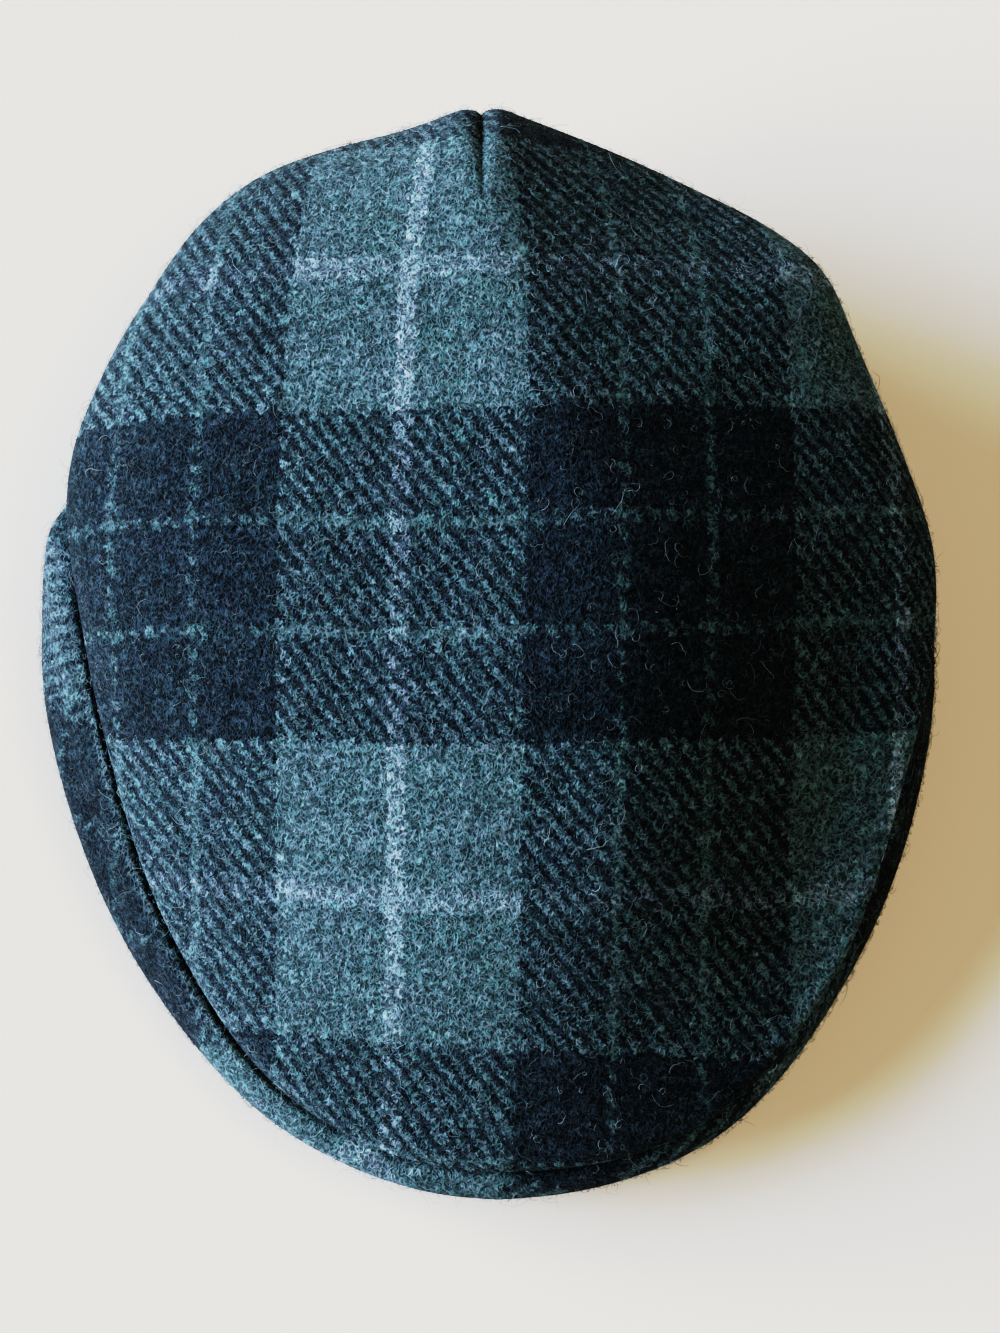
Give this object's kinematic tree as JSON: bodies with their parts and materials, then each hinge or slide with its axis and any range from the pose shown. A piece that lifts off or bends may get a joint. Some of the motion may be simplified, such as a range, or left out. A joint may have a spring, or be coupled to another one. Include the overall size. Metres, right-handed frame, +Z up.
{
  "type": "flat cap",
  "caption": "Flat cap in checked wool tweed: a smooth top with a centre-back dart, curved side panels sewn below it and a stiff peak, hollow underneath for the head.",
  "frame": {"origin": "below the middle of the cap's outline, at the height of the table its rim rests on", "axes": "+Z up, -Y towards the peak at the front, +Y towards the dart at the back, +X to the right as seen from above with the peak at the bottom"},
  "size_m": [0.2264, 0.2708, 0.0766],
  "materials": {
    "tweed": "matte brushed wool twill in a teal and navy check with thin pale lines"
  },
  "bodies": {
    "root": {"top_panel": "tweed", "side_panel_left": "tweed", "side_panel_right": "tweed", "peak": "tweed"}
  },
  "joints": []
}
